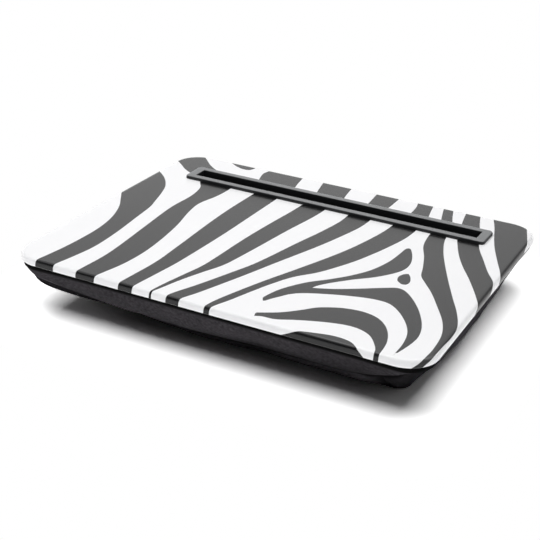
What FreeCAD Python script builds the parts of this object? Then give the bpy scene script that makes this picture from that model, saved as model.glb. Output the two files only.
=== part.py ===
"""Lap tray with a bead-filled cushion: a printed deck with a tablet slot, carried on a soft fabric hull.

Millimetres, +Z up. The origin is on the floor under the middle of the tray.
+X runs along the long edge, +Y from the front edge towards the tablet slot.
"""

import FreeCAD
import Part

import math
import os

V = FreeCAD.Vector
UP = V(0, 0, 1)

# Driving dimensions of the tray: width and depth are taken at the foot of the rim
TRAY_WIDTH = 348.4
TRAY_DEPTH = 277.4
TRAY_CORNER_R = 24.7
DECK_TOP_Z = 50.0
DECK_WALL = 2.2
RIM_HEIGHT = 5.3
RIM_WALL = 1.6
RIM_DRAFT = 0.5
RIM_EDGE_R = 3.0

# Driving dimensions of the tablet slot
SLOT_LENGTH = 269.4
SLOT_WIDTH = 14.7
SLOT_DEPTH = 16.8
SLOT_TO_BACK_EDGE = 47.5

# Driving dimensions of the base plate and the cushion
PLATE_WALL = 3.0
PLATE_GAP = 2.6
CLOTH_WALL = 1.2
CUSHION_TUCK_FRONT = 46.0
CUSHION_TUCK_SIDE = 32.0

# Clearances: SEAT between pieces that lie beside each other, OVERRUN for cuts that run clear
SEAT = 0.3
OVERRUN = 5.0

# Heights and places that several pieces share
DECK_UNDER_Z = DECK_TOP_Z - DECK_WALL
RIM_BOTTOM_Z = DECK_TOP_Z - RIM_HEIGHT
PLATE_TOP_Z = DECK_UNDER_Z - PLATE_GAP
PLATE_BOTTOM_Z = PLATE_TOP_Z - PLATE_WALL
HEM_TOP_Z = PLATE_TOP_Z + CLOTH_WALL
HEM_BOTTOM_Z = PLATE_BOTTOM_Z - SEAT
SLOT_Y = TRAY_DEPTH / 2 - SLOT_TO_BACK_EDGE

# Insets from the foot of the rim that several pieces share
HEM_INSET = RIM_WALL + RIM_DRAFT * (HEM_TOP_Z - RIM_BOTTOM_Z) / RIM_HEIGHT + SEAT
PLATE_INSET = HEM_INSET + CLOTH_WALL + SEAT


def rounded_wire(width, depth, radius, z, y=0.0):
    """A rectangle with round corners at height z, as four lines and four arcs, centred on (0, y)."""
    hx, hy = width / 2, depth / 2
    reach = radius * (1 - math.sqrt(0.5))
    edges = []
    for sx, sy in ((1, -1), (1, 1), (-1, 1), (-1, -1)):
        on_x_side = V(sx * hx, sy * (hy - radius), z)
        on_y_side = V(sx * (hx - radius), sy * hy, z)
        bend = V(sx * (hx - reach), sy * (hy - reach), z)
        ends = (on_y_side, on_x_side) if sx == -sy else (on_x_side, on_y_side)
        edges.append(Part.Arc(ends[0], bend, ends[1]).toShape())
    corners = len(edges)
    closing = []
    for i, arc in enumerate(edges):
        start = arc.lastVertex(True).Point
        end = edges[(i + 1) % corners].firstVertex(True).Point
        closing += [arc, Part.LineSegment(start, end).toShape()]
    wire = Part.Wire(closing)
    wire.translate(V(0, y, 0))
    return wire


def box_wire(width, depth, z, y=0.0):
    """A plain rectangle at height z, centred on (0, y)."""
    hx, hy = width / 2, depth / 2
    wire = Part.makePolygon([V(-hx, -hy, z), V(hx, -hy, z), V(hx, hy, z), V(-hx, hy, z), V(-hx, -hy, z)])
    wire.translate(V(0, y, 0))
    return wire


def prism(wire, z1):
    """The wire's face raised to height z1."""
    return Part.Face(wire).extrude(V(0, 0, z1 - wire.BoundBox.ZMin))


def tray_outline(inset, z):
    """The outline of the rim's foot drawn in by inset, at height z."""
    return rounded_wire(TRAY_WIDTH - 2 * inset, TRAY_DEPTH - 2 * inset, TRAY_CORNER_R - inset, z)


def band(outer, inner, z1):
    """A closed band between two level wires, raised to height z1."""
    return prism(outer, z1).cut(prism(inner, z1))


def edges_at(shape, z, length, width, y):
    """The shape's edges that lie whole at height z, inside a rectangle of that size about (0, y)."""
    near = SEAT / 2
    found = []
    for edge in shape.Edges:
        box = edge.BoundBox
        level = abs(box.ZMin - z) < near and abs(box.ZMax - z) < near
        inside_x = max(abs(box.XMin), abs(box.XMax)) < length / 2 + near
        inside_y = max(abs(box.YMin - y), abs(box.YMax - y)) < width / 2 + near
        if level and inside_x and inside_y:
            found.append(edge)
    return found


def export(name, shape):
    """Writes one sub-part."""
    shape.exportStep(f"parts/{name}.step")


# Slot bezel: a raised black frame that drops into a shallow seat in the deck and snaps under it

BEZEL_BORDER = 6.7
BEZEL_END_BORDER = 8.2
BEZEL_CORNER_R = 4.0
BEZEL_HEIGHT = 2.8
BEZEL_SEAT_DEPTH = 0.8
BEZEL_EDGE_R = 1.0
BEZEL_MOUTH_R = 0.6
SKIRT_WALL = 1.5
HOOK_LENGTH = 10.0
HOOK_BITE = 0.8
HOOK_HEIGHT = 1.4
HOOK_X_SHARES = (-0.9, -0.54, -0.18, 0.18, 0.54, 0.9)
BEZEL_LENGTH = SLOT_LENGTH + 2 * BEZEL_END_BORDER
BEZEL_WIDTH = SLOT_WIDTH + 2 * BEZEL_BORDER
BEZEL_TOP_Z = DECK_TOP_Z + BEZEL_HEIGHT
BEZEL_SEAT_Z = DECK_TOP_Z - BEZEL_SEAT_DEPTH
SKIRT_LENGTH = SLOT_LENGTH + 2 * SKIRT_WALL
SKIRT_WIDTH = SLOT_WIDTH + 2 * SKIRT_WALL
SKIRT_BOTTOM_Z = PLATE_TOP_Z + 2 * SEAT
APERTURE_LENGTH = SKIRT_LENGTH + 2 * SEAT
APERTURE_WIDTH = SKIRT_WIDTH + 2 * SEAT


def snap_hook(x, side):
    """One wedge-shaped barb on the skirt's long side, which catches under the deck."""
    root_y = side * SKIRT_WIDTH / 2
    tip_y = side * (APERTURE_WIDTH / 2 + HOOK_BITE)
    top_z = DECK_UNDER_Z - SEAT
    toe_z = top_z - HOOK_HEIGHT
    root, tip, toe = V(0, root_y, top_z), V(0, tip_y, top_z), V(0, root_y, toe_z)
    hook = Part.Face(Part.makePolygon([root, tip, toe, root])).extrude(V(HOOK_LENGTH, 0, 0))
    hook.translate(V(x - HOOK_LENGTH / 2, SLOT_Y, 0))
    return hook


def make_slot_bezel():
    """A flange ring with a rounded outer edge, a slot with an eased mouth, and a skirt with snap hooks."""
    flange = prism(rounded_wire(BEZEL_LENGTH, BEZEL_WIDTH, BEZEL_CORNER_R, BEZEL_SEAT_Z, SLOT_Y), BEZEL_TOP_Z)
    flange = flange.makeFillet(BEZEL_EDGE_R, edges_at(flange, BEZEL_TOP_Z, BEZEL_LENGTH, BEZEL_WIDTH, SLOT_Y))
    skirt = prism(box_wire(SKIRT_LENGTH, SKIRT_WIDTH, SKIRT_BOTTOM_Z, SLOT_Y), BEZEL_SEAT_Z)
    hooks = [snap_hook(share * SLOT_LENGTH / 2, side) for side in (-1, 1) for share in HOOK_X_SHARES]
    bezel = flange.fuse([skirt, *hooks])
    slot = prism(box_wire(SLOT_LENGTH, SLOT_WIDTH, SKIRT_BOTTOM_Z - OVERRUN, SLOT_Y), BEZEL_TOP_Z + OVERRUN)
    bezel = bezel.cut(slot).removeSplitter()
    return bezel.makeFillet(BEZEL_MOUTH_R, edges_at(bezel, BEZEL_TOP_Z, SLOT_LENGTH, SLOT_WIDTH, SLOT_Y))


# Slot trough: the channel that the tablet's edge stands in, clamped between deck and base plate.
# At its ends the flange and the hem's flap share the room between the trough's mouth and the rim.

TROUGH_WALL = 1.8
TROUGH_FLOOR_WALL = 2.0
TROUGH_FLANGE = 8.0
END_FLANGE_SHARE = 0.23
TROUGH_FLANGE_R = 6.0
TROUGH_FOOT_R = 1.5
TROUGH_FLOOR_Z = BEZEL_TOP_Z - SLOT_DEPTH
TROUGH_BOTTOM_Z = TROUGH_FLOOR_Z - TROUGH_FLOOR_WALL
TROUGH_LENGTH = SLOT_LENGTH + 2 * TROUGH_WALL
TROUGH_WIDTH = SLOT_WIDTH + 2 * TROUGH_WALL
MOUTH_LENGTH = APERTURE_LENGTH + 2 * (HOOK_BITE + SEAT)
MOUTH_WIDTH = APERTURE_WIDTH + 2 * (HOOK_BITE + SEAT)
END_ROOM = (TRAY_WIDTH - MOUTH_LENGTH) / 2 - HEM_INSET
FLANGE_LENGTH = MOUTH_LENGTH + 2 * END_FLANGE_SHARE * END_ROOM
FLANGE_WIDTH = MOUTH_WIDTH + 2 * TROUGH_FLANGE


def make_slot_trough():
    """A channel with a clamping flange, and a wider mouth that leaves room for the bezel's hooks."""
    flange_wire = rounded_wire(FLANGE_LENGTH, FLANGE_WIDTH, TROUGH_FLANGE_R, PLATE_TOP_Z, SLOT_Y)
    flange = prism(flange_wire, DECK_UNDER_Z)
    channel = prism(box_wire(TROUGH_LENGTH, TROUGH_WIDTH, TROUGH_BOTTOM_Z, SLOT_Y), PLATE_TOP_Z)
    foot = edges_at(channel, TROUGH_BOTTOM_Z, TROUGH_LENGTH, TROUGH_WIDTH, SLOT_Y)
    trough = flange.fuse(channel.makeFillet(TROUGH_FOOT_R, foot))
    mouth = prism(box_wire(MOUTH_LENGTH, MOUTH_WIDTH, PLATE_TOP_Z + SEAT, SLOT_Y), DECK_UNDER_Z + OVERRUN)
    well = prism(box_wire(SLOT_LENGTH, SLOT_WIDTH, TROUGH_FLOOR_Z, SLOT_Y), DECK_UNDER_Z + OVERRUN)
    return trough.cut([mouth, well]).removeSplitter()


# Base screws: driven up through the plate into bosses under the deck

SCREW_SHANK_R = 1.4
SCREW_SHANK_LENGTH = 4.4
SCREW_HEAD_R = 2.6
SCREW_HEAD_FACE_R = 2.0
SCREW_HEAD_HEIGHT = 1.6
SCREW_FIT = 0.05
SCREW_INSET = 20.0
SCREW_X_SHARES = (-0.8, 0.0, 0.8)
COUNTERBORE_DEPTH = SCREW_HEAD_HEIGHT + SEAT / 3


def screw_places():
    """Where the screws stand: a row along the front and a row along the back."""
    reach_x, reach_y = TRAY_WIDTH / 2 - SCREW_INSET, TRAY_DEPTH / 2 - SCREW_INSET
    return [(share * reach_x, side * reach_y) for side in (-1, 1) for share in SCREW_X_SHARES]


def make_base_screw(x, y):
    """A pan-head screw, turned from its half profile: a tapered head below and a plain shank above."""
    seat_z = PLATE_BOTTOM_Z + COUNTERBORE_DEPTH
    head_z, tip_z = seat_z - SCREW_HEAD_HEIGHT, seat_z + SCREW_SHANK_LENGTH
    outline = (
        (0, head_z),
        (SCREW_HEAD_FACE_R, head_z),
        (SCREW_HEAD_R, seat_z),
        (SCREW_SHANK_R, seat_z),
        (SCREW_SHANK_R, tip_z),
        (0, tip_z),
        (0, head_z),
    )
    screw = Part.Face(Part.makePolygon([V(r, 0, z) for r, z in outline])).revolve(V(0, 0, 0), UP, 360)
    screw.translate(V(x, y, 0))
    return screw


# Base plate: the flat panel that closes the tray from below and clamps the cushion's hem


def make_base_plate():
    """A flat panel inside the rim, open round the trough, with sunk holes for the screws."""
    plate = prism(tray_outline(PLATE_INSET, PLATE_BOTTOM_Z), PLATE_TOP_Z)
    window = box_wire(TROUGH_LENGTH + 2 * SEAT, TROUGH_WIDTH + 2 * SEAT, PLATE_BOTTOM_Z - OVERRUN, SLOT_Y)
    cuts = [prism(window, PLATE_TOP_Z + OVERRUN)]
    for x, y in screw_places():
        foot = V(x, y, PLATE_BOTTOM_Z)
        cuts.append(Part.makeCylinder(SCREW_SHANK_R + SEAT, PLATE_WALL, foot, UP))
        cuts.append(Part.makeCylinder(SCREW_HEAD_R + SEAT, COUNTERBORE_DEPTH, foot, UP))
    return plate.cut(cuts)


# Tray top: the printed deck with its turned-down rim, ribbed underneath

HEM_WIDTH = 11.0
END_HEM_SHARE = 0.315
CLAMP_RIB_SHARES = (0.45, 0.6)
RIB_WALL = 1.4
RIB_X_SHARES = (-0.66, -0.33, 0.0, 0.33, 0.66)
RIB_Y_SHARES = (-0.62, -0.24, 0.14)
BOSS_R = 3.5
BOSS_BORE_SHARE = 0.45
HEM_INNER_X = TRAY_WIDTH / 2 - HEM_INSET - END_HEM_SHARE * END_ROOM
HEM_INNER_Y = TRAY_DEPTH / 2 - HEM_INSET - HEM_WIDTH


def hem_outline(share, z):
    """The outline this share of the way across the hem's flap, from the rim inwards, at height z."""
    hem_x, hem_y = TRAY_WIDTH / 2 - HEM_INSET, TRAY_DEPTH / 2 - HEM_INSET
    half_x, half_y = hem_x + share * (HEM_INNER_X - hem_x), hem_y + share * (HEM_INNER_Y - hem_y)
    return rounded_wire(2 * half_x, 2 * half_y, TRAY_CORNER_R - HEM_INSET - share * HEM_WIDTH, z)


def drafted_block(inset, z1):
    """The tray's outline drawn in by inset, leaning in with the rim's draft from its foot up to height z1."""
    lean = RIM_DRAFT * (z1 - RIM_BOTTOM_Z) / RIM_HEIGHT
    return Part.makeLoft([tray_outline(inset, RIM_BOTTOM_Z), tray_outline(inset + lean, z1)], True, True)


def make_deck_ribs():
    """What stands under the deck: the rib that clamps the hem, the stiffening grid and the screw bosses."""
    clamp_lines = [hem_outline(share, HEM_TOP_Z) for share in CLAMP_RIB_SHARES]
    pieces = [band(*clamp_lines, DECK_UNDER_Z)]
    field_x = HEM_INNER_X - SEAT
    field_front, field_back = SEAT - HEM_INNER_Y, SLOT_Y - FLANGE_WIDTH / 2 - RIB_WALL
    rib_z, rib_drop = PLATE_TOP_Z + SEAT, PLATE_GAP - SEAT
    for share in RIB_X_SHARES:
        corner = V(share * field_x - RIB_WALL / 2, field_front, rib_z)
        pieces.append(Part.makeBox(RIB_WALL, field_back - field_front, rib_drop, corner))
    for share in RIB_Y_SHARES:
        corner = V(-field_x, share * TRAY_DEPTH / 2 - RIB_WALL / 2, rib_z)
        pieces.append(Part.makeBox(2 * field_x, RIB_WALL, rib_drop, corner))
    for x, y in screw_places():
        pieces.append(Part.makeCylinder(BOSS_R, PLATE_GAP, V(x, y, PLATE_TOP_Z), UP))
    return pieces


def make_tray_top():
    """A shallow shell with a drafted rim, a seated slot aperture, and ribs and bosses underneath."""
    shell = drafted_block(0, DECK_TOP_Z)
    shell = shell.makeFillet(RIM_EDGE_R, edges_at(shell, DECK_TOP_Z, TRAY_WIDTH, TRAY_DEPTH, 0))
    shell = shell.cut(drafted_block(RIM_WALL, DECK_UNDER_Z))
    top = shell.fuse(make_deck_ribs())
    seat_wire = rounded_wire(
        BEZEL_LENGTH + 2 * SEAT, BEZEL_WIDTH + 2 * SEAT, BEZEL_CORNER_R + SEAT, BEZEL_SEAT_Z, SLOT_Y
    )
    aperture = box_wire(APERTURE_LENGTH, APERTURE_WIDTH, DECK_UNDER_Z - OVERRUN, SLOT_Y)
    cuts = [prism(seat_wire, DECK_TOP_Z + OVERRUN), prism(aperture, DECK_TOP_Z + OVERRUN)]
    bore_depth = PLATE_GAP + DECK_WALL * BOSS_BORE_SHARE
    for x, y in screw_places():
        cuts.append(Part.makeCylinder(SCREW_SHANK_R + SCREW_FIT, bore_depth, V(x, y, PLATE_TOP_Z), UP))
    return top.cut(cuts).removeSplitter()


# Cushion cover: a fabric hull sewn from a bottom panel and four side gussets, hung from a bound hem

HULL_BANDS = 8
HULL_FRONT_POWER = 1.9
HULL_SIDE_POWER = 1.42
HULL_CORNER_POWER = 1.4
CUSHION_FOOT_CORNER_R = 13.5
SEAM_LOW_SHARE = 0.25
SEAM_KNEE_SHARE = 0.57
SEAM_END_INSET = 12.0
SEAM_BEND = 24.0


def make_hem_binding():
    """A bound edge of L section: one leg hangs inside the rim, the other lies on the plate."""
    leg_lines = [tray_outline(inset, HEM_BOTTOM_Z) for inset in (HEM_INSET, HEM_INSET + CLOTH_WALL)]
    flap_lines = [hem_outline(share, PLATE_TOP_Z) for share in (0, 1)]
    leg, flap = band(*leg_lines, HEM_TOP_Z), band(*flap_lines, HEM_TOP_Z)
    return leg.fuse(flap).removeSplitter()


def hull_inset(height_share, tuck, power, skin):
    """How far one side of the hull lies inside the tray's outline.

    The tuck follows a power of the depth below the hem, so the wall drops steeply and then rolls under.
    A skin is measured square to the wall's slope at that height.
    """
    depth_share = 1 - height_share
    slope = tuck * power * depth_share ** (power - 1) / HEM_BOTTOM_Z
    return HEM_INSET + tuck * depth_share ** power + skin * math.hypot(1, slope)


def hull_section(z, skin):
    """The hull's level outline at height z, drawn in by skin."""
    height_share = z / HEM_BOTTOM_Z
    front = hull_inset(height_share, CUSHION_TUCK_FRONT, HULL_FRONT_POWER, skin)
    side = hull_inset(height_share, CUSHION_TUCK_SIDE, HULL_SIDE_POWER, skin)
    hem_corner_r = TRAY_CORNER_R - HEM_INSET
    corner_gain = hem_corner_r - CUSHION_FOOT_CORNER_R
    corner_r = CUSHION_FOOT_CORNER_R + corner_gain * height_share ** HULL_CORNER_POWER
    return rounded_wire(TRAY_WIDTH - 2 * side, TRAY_DEPTH - 2 * front, corner_r - skin, z)


def make_hull(skin):
    """The cushion's closed form, drawn in all round by skin: wide at the hem and flat on the floor."""
    rise = (HEM_BOTTOM_Z - skin) / HULL_BANDS
    sections = [hull_section(skin + i * rise, skin) for i in range(HULL_BANDS + 1)]
    return Part.makeLoft(sections, True, True)


def gusset_cutter(span, reach, turn):
    """A block above one side's seam, which runs low and level and climbs to the hem at both corners."""
    low_z, top_z = SEAM_LOW_SHARE * HEM_BOTTOM_Z, HEM_BOTTOM_Z + OVERRUN
    knee, end = SEAM_KNEE_SHARE * span / 2, span / 2 - SEAM_END_INSET
    climb = math.atan2(HEM_BOTTOM_Z - low_z, end - knee)
    bend_r = SEAM_BEND / math.tan(climb / 2)
    level_end = knee - SEAM_BEND
    bend_mid = (level_end + bend_r * math.sin(climb / 2), low_z + bend_r * (1 - math.cos(climb / 2)))
    bend_end = (knee + SEAM_BEND * math.cos(climb), low_z + SEAM_BEND * math.sin(climb))
    edges = [Part.LineSegment(V(-level_end, 0, low_z), V(level_end, 0, low_z))]
    for side in (-1, 1):
        start, mid = V(side * level_end, 0, low_z), V(side * bend_mid[0], 0, bend_mid[1])
        stop, hem = V(side * bend_end[0], 0, bend_end[1]), V(side * end, 0, HEM_BOTTOM_Z)
        edges += [Part.Arc(start, mid, stop), Part.LineSegment(stop, hem)]
        edges.append(Part.LineSegment(hem, V(side * end, 0, top_z)))
    edges.append(Part.LineSegment(V(end, 0, top_z), V(-end, 0, top_z)))
    outline = Part.Wire(Part.__sortEdges__([edge.toShape() for edge in edges]))
    block = Part.Face(outline).extrude(V(0, -reach, 0))
    block.rotate(V(0, 0, 0), UP, turn)
    return block


def make_cover():
    """The fabric hull cut along its seams: four gussets by name, and the bottom panel."""
    shell = make_hull(0).cut(make_hull(CLOTH_WALL))
    sides = {
        "cover_front_gusset": (TRAY_WIDTH, TRAY_DEPTH, 0),
        "cover_right_gusset": (TRAY_DEPTH, TRAY_WIDTH, 90),
        "cover_rear_gusset": (TRAY_WIDTH, TRAY_DEPTH, 180),
        "cover_left_gusset": (TRAY_DEPTH, TRAY_WIDTH, 270),
    }
    cutters = {name: gusset_cutter(*side) for name, side in sides.items()}
    pieces = {name: shell.common(cutter) for name, cutter in cutters.items()}
    pieces["cover_bottom_panel"] = shell.cut(list(cutters.values()))
    return pieces


# Filling: loose beads in a thin inner bag, with a hollow where the trough hangs into it

LINER_WALL = 0.6


def filling_body(skin):
    """The inside of the cover drawn in by skin, cut level under the plate and hollowed round the trough."""
    roof_z = PLATE_BOTTOM_Z - skin
    keep = prism(box_wire(TRAY_WIDTH, TRAY_DEPTH, -OVERRUN), roof_z)
    hollow = box_wire(TROUGH_LENGTH + 2 * skin, TROUGH_WIDTH + 2 * skin, TROUGH_BOTTOM_Z - skin, SLOT_Y)
    return make_hull(CLOTH_WALL + skin).common(keep).cut(prism(hollow, roof_z + OVERRUN))


def make_filling():
    """The inner bag as a thin closed shell, and the beads that fill it."""
    bag = filling_body(SEAT).cut(filling_body(SEAT + LINER_WALL))
    beads = filling_body(SEAT + LINER_WALL + SEAT)
    return bag, beads


def main():
    os.makedirs("parts", exist_ok=True)
    export("tray_top", make_tray_top())
    export("slot_bezel", make_slot_bezel())
    export("slot_trough", make_slot_trough())
    export("base_plate", make_base_plate())
    export("base_screws", Part.makeCompound([make_base_screw(x, y) for x, y in screw_places()]))
    export("hem_binding", make_hem_binding())
    for name, shape in make_cover().items():
        export(name, shape)
    bead_liner, bead_fill = make_filling()
    export("bead_liner", bead_liner)
    export("bead_fill", bead_fill)


main()
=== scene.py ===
"""Looks of the lap tray: a striped deck, a slot bezel and a soft bead cushion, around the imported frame.

Metres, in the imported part's own frame: the floor is z = 0, +X runs along the front edge, +Y to the slot.
"""

import math

import bpy
import numpy as np
from mathutils import Matrix, Vector


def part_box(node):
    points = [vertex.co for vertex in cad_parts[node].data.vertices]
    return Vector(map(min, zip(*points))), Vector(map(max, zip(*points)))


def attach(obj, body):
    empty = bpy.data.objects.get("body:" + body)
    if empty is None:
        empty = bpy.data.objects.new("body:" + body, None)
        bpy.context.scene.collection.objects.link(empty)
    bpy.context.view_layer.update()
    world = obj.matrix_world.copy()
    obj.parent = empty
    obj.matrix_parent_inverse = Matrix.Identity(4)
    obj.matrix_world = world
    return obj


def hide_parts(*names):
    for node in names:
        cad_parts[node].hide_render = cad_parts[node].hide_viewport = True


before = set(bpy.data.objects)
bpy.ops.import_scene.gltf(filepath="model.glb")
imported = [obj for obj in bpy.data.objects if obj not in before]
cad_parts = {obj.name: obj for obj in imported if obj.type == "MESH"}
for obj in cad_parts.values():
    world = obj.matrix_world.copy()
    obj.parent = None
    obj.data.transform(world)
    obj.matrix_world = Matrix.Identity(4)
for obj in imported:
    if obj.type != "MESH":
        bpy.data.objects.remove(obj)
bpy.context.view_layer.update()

MM = 0.001
TINY = 1e-12  # keeps a division off zero

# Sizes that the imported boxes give
TRAY_LOW, TRAY_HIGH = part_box("tray_top")
BEZEL_LOW, BEZEL_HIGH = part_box("slot_bezel")
TROUGH_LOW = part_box("slot_trough")[0]
HEM_LOW, HEM_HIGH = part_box("hem_binding")
FOOT_HALF = (TRAY_HIGH.x, TRAY_HIGH.y)
SLOT_Y = (BEZEL_LOW.y + BEZEL_HIGH.y) / 2
SLOT_HALF_Y = (BEZEL_HIGH.y - BEZEL_LOW.y) / 2

# Sizes of the tray's moulding that its box doesn't give
FOOT_CORNER_R = 24.7 * MM
RIM_DRAFT = 0.5 * MM
RIM_WALL = 1.6 * MM
CREASE_R = 3.0 * MM
FOOT_EDGE_R = 0.35 * MM
FOOT_EDGE_CUT = FOOT_EDGE_R / 3
CREASE_HALF = (FOOT_HALF[0] - RIM_DRAFT, FOOT_HALF[1] - RIM_DRAFT)
CREASE_CORNER_R = FOOT_CORNER_R - RIM_DRAFT


# Mesh helpers


def quads(index):
    """Faces of a grid of vertex numbers: each four neighbours, wound so that columns cross rows upwards."""
    corners = (index[:-1, :-1], index[:-1, 1:], index[1:, 1:], index[1:, :-1])
    return np.stack(corners, axis=-1).reshape(-1, 4)


def tube(index):
    """Faces between closed loops of vertex numbers, one loop to a row from the bottom up, facing outwards."""
    low, high = index[:-1], index[1:]
    corners = (high, low, np.roll(low, -1, axis=1), np.roll(high, -1, axis=1))
    return np.stack(corners, axis=-1).reshape(-1, 4)


def tube_coords(around, along):
    """Cloth coordinates of a tube's face corners: the walk round the loop, which closes past its last point,
    and the distance up the wall."""
    left = np.broadcast_to(around[:-1], along[1:].shape)
    right = np.broadcast_to(around[1:], along[1:].shape)
    low, high = along[:-1], along[1:]
    low_next, high_next = np.roll(low, -1, axis=1), np.roll(high, -1, axis=1)
    corners = (left, high), (left, low), (right, low_next), (right, high_next)
    return np.stack([np.stack(corner, axis=-1) for corner in corners], axis=2).reshape(-1, 4, 2)


def new_piece(name, points, faces, finish):
    """A smooth-shaded mesh of four-sided faces that rides on the tray."""
    mesh = bpy.data.meshes.new(name)
    mesh.vertices.add(len(points))
    mesh.vertices.foreach_set("co", np.asarray(points, np.float32).ravel())
    mesh.loops.add(faces.size)
    mesh.loops.foreach_set("vertex_index", faces.astype(np.int32).ravel())
    mesh.polygons.add(len(faces))
    mesh.polygons.foreach_set("loop_start", np.arange(0, faces.size, 4, dtype=np.int32))
    mesh.update(calc_edges=True)
    mesh.validate()
    mesh.polygons.foreach_set("use_smooth", np.ones(len(faces), bool))
    piece = bpy.data.objects.new(name, mesh)
    bpy.context.scene.collection.objects.link(piece)
    piece.data.materials.append(finish)
    return piece


def set_coords(piece, coords):
    """Stores two cloth coordinates per face corner as the piece's own map."""
    layer = piece.data.uv_layers.new(name="cloth")
    layer.data.foreach_set("uv", np.asarray(coords, np.float32).ravel())


def set_attribute(piece, name, values):
    """Stores one number per vertex for the piece's finish to read."""
    attribute = piece.data.attributes.new(name, "FLOAT", "POINT")
    attribute.data.foreach_set("value", np.asarray(values, np.float32))


class RoundedPanel:
    """A grid over a rectangle with round corners, and the walk round its border.

    Columns are shares of a row's half length. Rows are shares of the straight half side, and each corner adds
    rows at even steps of its quarter circle. The border starts at the front left and runs to the right.
    """

    def __init__(self, columns, rows, corner_steps):
        turn = np.linspace(math.pi / 2, 0, corner_steps, endpoint=False)
        self.columns = np.asarray(columns)
        self.row_share = np.concatenate([-np.ones(corner_steps), rows, np.ones(corner_steps)])
        self.row_angle = np.concatenate([-turn, np.zeros(len(rows)), turn[::-1]])
        self.index = np.arange(len(self.row_share) * len(self.columns)).reshape(len(self.row_share), -1)
        self.border = np.concatenate(
            [self.index[0, :-1], self.index[:-1, -1], self.index[-1, :0:-1], self.index[:0:-1, 0]]
        )
        front_ones, side_ones = np.ones(len(self.columns) - 1), np.ones(len(self.row_share) - 1)
        across, along = np.cos(self.row_angle), np.sin(self.row_angle)
        self.normal = np.stack(
            [
                np.concatenate([0 * front_ones, across[:-1], 0 * front_ones, -across[:0:-1]]),
                np.concatenate([-front_ones, along[:-1], front_ones, along[:0:-1]]),
            ],
            axis=-1,
        )
        self.share = np.stack(
            [
                np.concatenate([self.columns[:-1], side_ones, self.columns[:0:-1], -side_ones]),
                np.concatenate([-front_ones, self.row_share[:-1], front_ones, self.row_share[:0:-1]]),
            ],
            axis=-1,
        )

    def grid(self, half_x, half_y, corner_r):
        """Points of the panel: each row ends on the rounded outline, and its columns share out its length."""
        y = self.row_share * (half_y - corner_r) + np.sin(self.row_angle) * corner_r
        reach = half_x - corner_r + np.cos(self.row_angle) * corner_r
        return np.stack([reach[:, None] * self.columns, y[:, None] + 0 * self.columns], axis=-1)

    def loop(self, half_x, half_y, corner_r):
        """Points of the border: a share of the straight half sides plus the corner's radius along the normal.

        The sizes may also be given point by point, and for several loops at once.
        """
        radius = np.asarray(corner_r)[..., None]
        return self.share * (np.stack([half_x, half_y], axis=-1) - radius) + self.normal * radius


def with_height(flat, z):
    """Points in space from points in the plane."""
    return np.concatenate([flat, np.broadcast_to(z, flat.shape[:-1])[..., None]], axis=-1)


def shares_through(stops, step):
    """Shares from -1 to 1 that include the given stops, with even steps between them."""
    ends = np.concatenate([[-1.0], np.sort(stops), [1.0]])
    runs = [np.linspace(a, b, max(2, round((b - a) / step) + 1))[:-1] for a, b in zip(ends[:-1], ends[1:])]
    return np.concatenate([*runs, [1.0]])


# Shader helpers


class Field:
    """A shader socket that takes part in Python sums: each operator adds one Math node."""

    def __init__(self, sheet, socket):
        self.sheet, self.socket = sheet, socket

    def math(self, operation, *values):
        inputs = dict(enumerate((self, *values)))
        return self.sheet.node("ShaderNodeMath", {"operation": operation}, inputs)

    def __add__(self, other):
        return self.math("ADD", other)

    def __sub__(self, other):
        return self.math("SUBTRACT", other)

    def __mul__(self, other):
        return self.math("MULTIPLY", other)

    def __truediv__(self, other):
        return self.math("DIVIDE", other)

    def __rsub__(self, other):
        return self.sheet.node("ShaderNodeMath", {"operation": "SUBTRACT"}, {0: other, 1: self})

    __radd__, __rmul__ = __add__, __mul__

    def clamped(self):
        return self.sheet.node("ShaderNodeClamp", {}, {"Value": self})

    def between(self, low, high):
        """Zero at low, one at high, easing in between."""
        settings = {"interpolation_type": "SMOOTHSTEP"}
        return self.sheet.node("ShaderNodeMapRange", settings, {"Value": self, 1: low, 2: high})


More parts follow.
